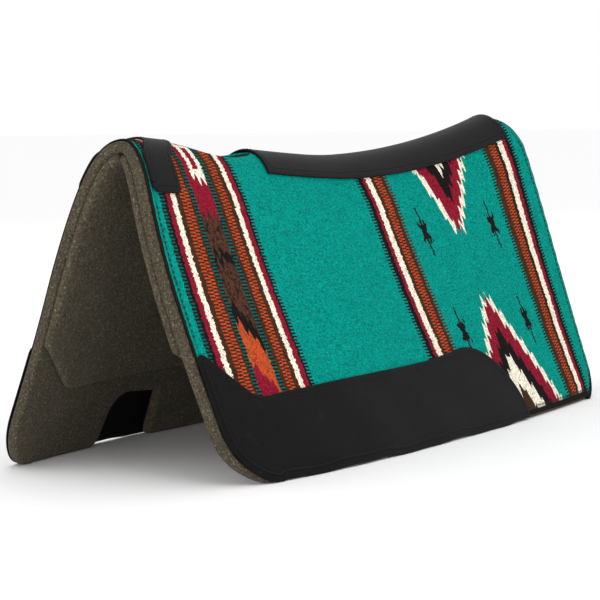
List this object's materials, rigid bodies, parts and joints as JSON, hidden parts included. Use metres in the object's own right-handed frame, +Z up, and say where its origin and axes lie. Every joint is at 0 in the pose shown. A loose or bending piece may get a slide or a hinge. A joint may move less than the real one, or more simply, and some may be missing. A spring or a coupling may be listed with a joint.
{
  "type": "saddle pad",
  "caption": "Contoured Western saddle pad of layered wool felt under a woven striped blanket, with leather wear patches, spine strip and wither cut-out; it folds along the spine.",
  "frame": {"origin": "on the floor, midway along the pad, under the spine", "axes": "+X forward towards the horse's head, +Y to the horse's left, +Z up"},
  "size_m": [0.8044, 0.3642, 0.3418],
  "materials": {
    "felt": "dark brown-grey pressed wool felt",
    "liner_felt": "dark brown-grey pressed wool felt",
    "woven_wool": "hand-woven wool, turquoise with striped bands",
    "wear_leather": "matt black leather",
    "strap_leather": "matt black leather",
    "leather_thread": "waxed black thread",
    "blanket_thread": "turquoise thread",
    "felt_thread": "dark brown thread"
  },
  "bodies": {
    "left_half": {"felt_base_left": "felt", "felt_liner_left": "liner_felt", "blanket_left": "woven_wool", "wear_leather_left": "wear_leather", "wear_leather_stitching_left": "leather_thread", "perimeter_stitching_left": "blanket_thread", "liner_stitching_left": "felt_thread", "spine_leather": "wear_leather", "wither_leather": "strap_leather", "spine_leather_stitching": "leather_thread", "wither_leather_stitching": "leather_thread", "spine_seam_thread": "felt_thread"},
    "right_half": {"felt_base_right": "felt", "felt_liner_right": "liner_felt", "blanket_right": "woven_wool", "wear_leather_right": "wear_leather", "wear_leather_stitching_right": "leather_thread", "perimeter_stitching_right": "blanket_thread", "liner_stitching_right": "felt_thread"}
  },
  "joints": [
    {"name": "spine_fold", "type": "hinge", "parent": "left_half", "child": "right_half", "pos_m": [0, 0, 0.318], "axis": [-1, 0, 0], "range_deg": [-25, 50], "stiffness_Nm_per_rad": 20, "deforming": ["spine_leather", "wither_leather", "spine_leather_stitching", "wither_leather_stitching", "spine_seam_thread"]}
  ]
}
